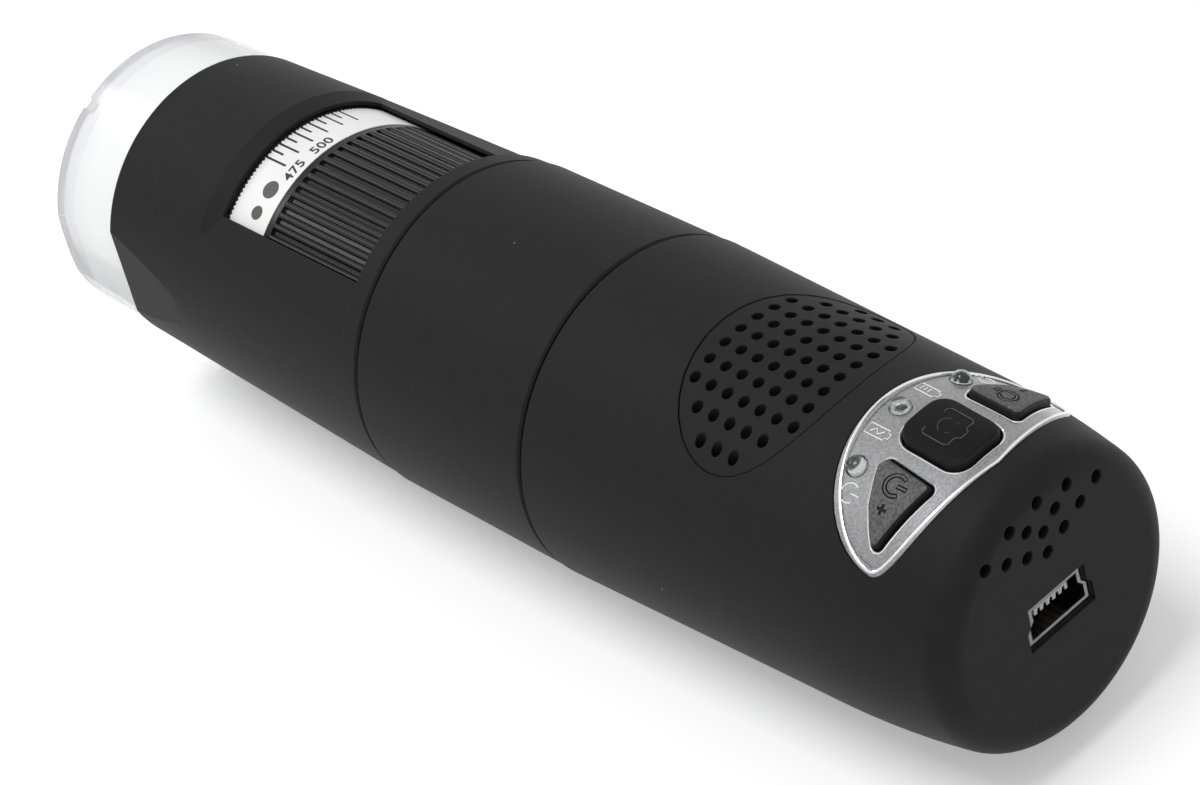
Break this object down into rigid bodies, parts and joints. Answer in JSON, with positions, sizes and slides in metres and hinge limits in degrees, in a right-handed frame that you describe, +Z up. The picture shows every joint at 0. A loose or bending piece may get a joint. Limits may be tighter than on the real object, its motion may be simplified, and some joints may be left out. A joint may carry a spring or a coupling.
{
  "type": "digital microscope",
  "caption": "Hand-held round digital microscope with a tapered body, a focus dial in a window, a clear hood at the lens end, a button panel, a grille and a charging socket.",
  "frame": {"origin": "middle of the bottom of the bounding box, on the surface that the body lies on", "axes": "+Y along the body towards the lens end, +Z up through the buttons, +X to the right of a user who looks along +Y"},
  "size_m": [0.035, 0.13, 0.035],
  "materials": {
    "soft_black": "soft-touch matt",
    "clear_plastic": "clear moulded plastic",
    "frame_plastic": "as moulded",
    "dial_black": "satin",
    "scale_white": "printed white",
    "steel": "plated",
    "washer_fibre": "fibre",
    "barrel_aluminium": "black anodised",
    "lens_glass": "polished and coated",
    "white_board": "white solder mask",
    "lamp_resin": "clear resin",
    "green_board": "solder mask",
    "chip_black": "moulded epoxy",
    "filter_glass": "coated",
    "shield_tin": "tinned",
    "antenna_ceramic": "ceramic",
    "battery_pouch": "foil pouch",
    "foam_tape": "foam",
    "flex_film": "polyimide film",
    "connector_ivory": "as moulded",
    "socket_steel": "nickel plated",
    "socket_insulator": "as moulded",
    "contact_gold": "gold plated",
    "panel_clear": "polished clear plastic",
    "panel_silver": "silver printed film",
    "dome_clear": "clear plastic",
    "key_rubber": "fine speckled rubber"
  },
  "bodies": {
    "body": {"rear_housing": "soft_black", "middle_sleeve": "soft_black", "front_housing": "soft_black", "clear_hood": "clear_plastic", "inner_frame": "frame_plastic", "guide_tube": "frame_plastic", "ring_clip": "steel", "friction_washer": "washer_fibre", "lamp_board": "white_board", "lamps": "lamp_resin", "sensor_board": "green_board", "image_sensor": "chip_black", "infrared_filter": "filter_glass", "flange_screws": "steel", "main_board": "green_board", "wifi_module": "shield_tin", "board_chips": "chip_black", "antenna": "antenna_ceramic", "board_screws": "steel", "battery": "battery_pouch", "battery_tape": "foam_tape", "flex_cable": "flex_film", "flex_connectors": "connector_ivory", "usb_shell": "socket_steel", "usb_tongue": "socket_insulator", "usb_contacts": "contact_gold", "grille_plate": "soft_black", "button_panel": "panel_clear", "panel_film": "panel_silver", "indicator_domes": "dome_clear", "indicator_lamps": "lamp_resin", "button_board": "green_board", "tact_switches": "chip_black"},
    "dial": {"focus_ring": "dial_black", "scale_band": "scale_white"},
    "lens_group": {"lens_barrel": "barrel_aluminium", "drive_pin": "steel", "front_lens": "lens_glass", "rear_lens": "lens_glass", "lens_spacer": "barrel_aluminium", "lens_retainer": "barrel_aluminium"},
    "power_key": {"power_button": "key_rubber", "power_plunger": "connector_ivory"},
    "capture_key": {"capture_button": "key_rubber", "capture_plunger": "connector_ivory"},
    "light_key": {"light_button": "key_rubber", "light_plunger": "connector_ivory"}
  },
  "joints": [
    {"name": "dial_turn", "type": "hinge", "parent": "body", "child": "dial", "pos_m": [0, 0.025, 0.01749], "axis": [0, 1, 0], "range_deg": [-12, 262]},
    {"name": "lens_slide", "type": "slide", "parent": "body", "child": "lens_group", "axis": [0, 1, 0], "range_m": [-0.01008, 0.00048]},
    {"name": "power_press", "type": "slide", "parent": "body", "child": "power_key", "axis": [0.4931, 0, -0.87], "range_m": [0, 0.0005], "stiffness_N_per_m": 2000},
    {"name": "capture_press", "type": "slide", "parent": "body", "child": "capture_key", "axis": [0, 0, -1], "range_m": [0, 0.0005], "stiffness_N_per_m": 2000},
    {"name": "light_press", "type": "slide", "parent": "body", "child": "light_key", "axis": [-0.4931, 0, -0.87], "range_m": [0, 0.0005], "stiffness_N_per_m": 2000}
  ],
  "couplings": [
    {"joint": "lens_slide", "follows": "dial_turn", "m_per_rad": -0.0022}
  ]
}
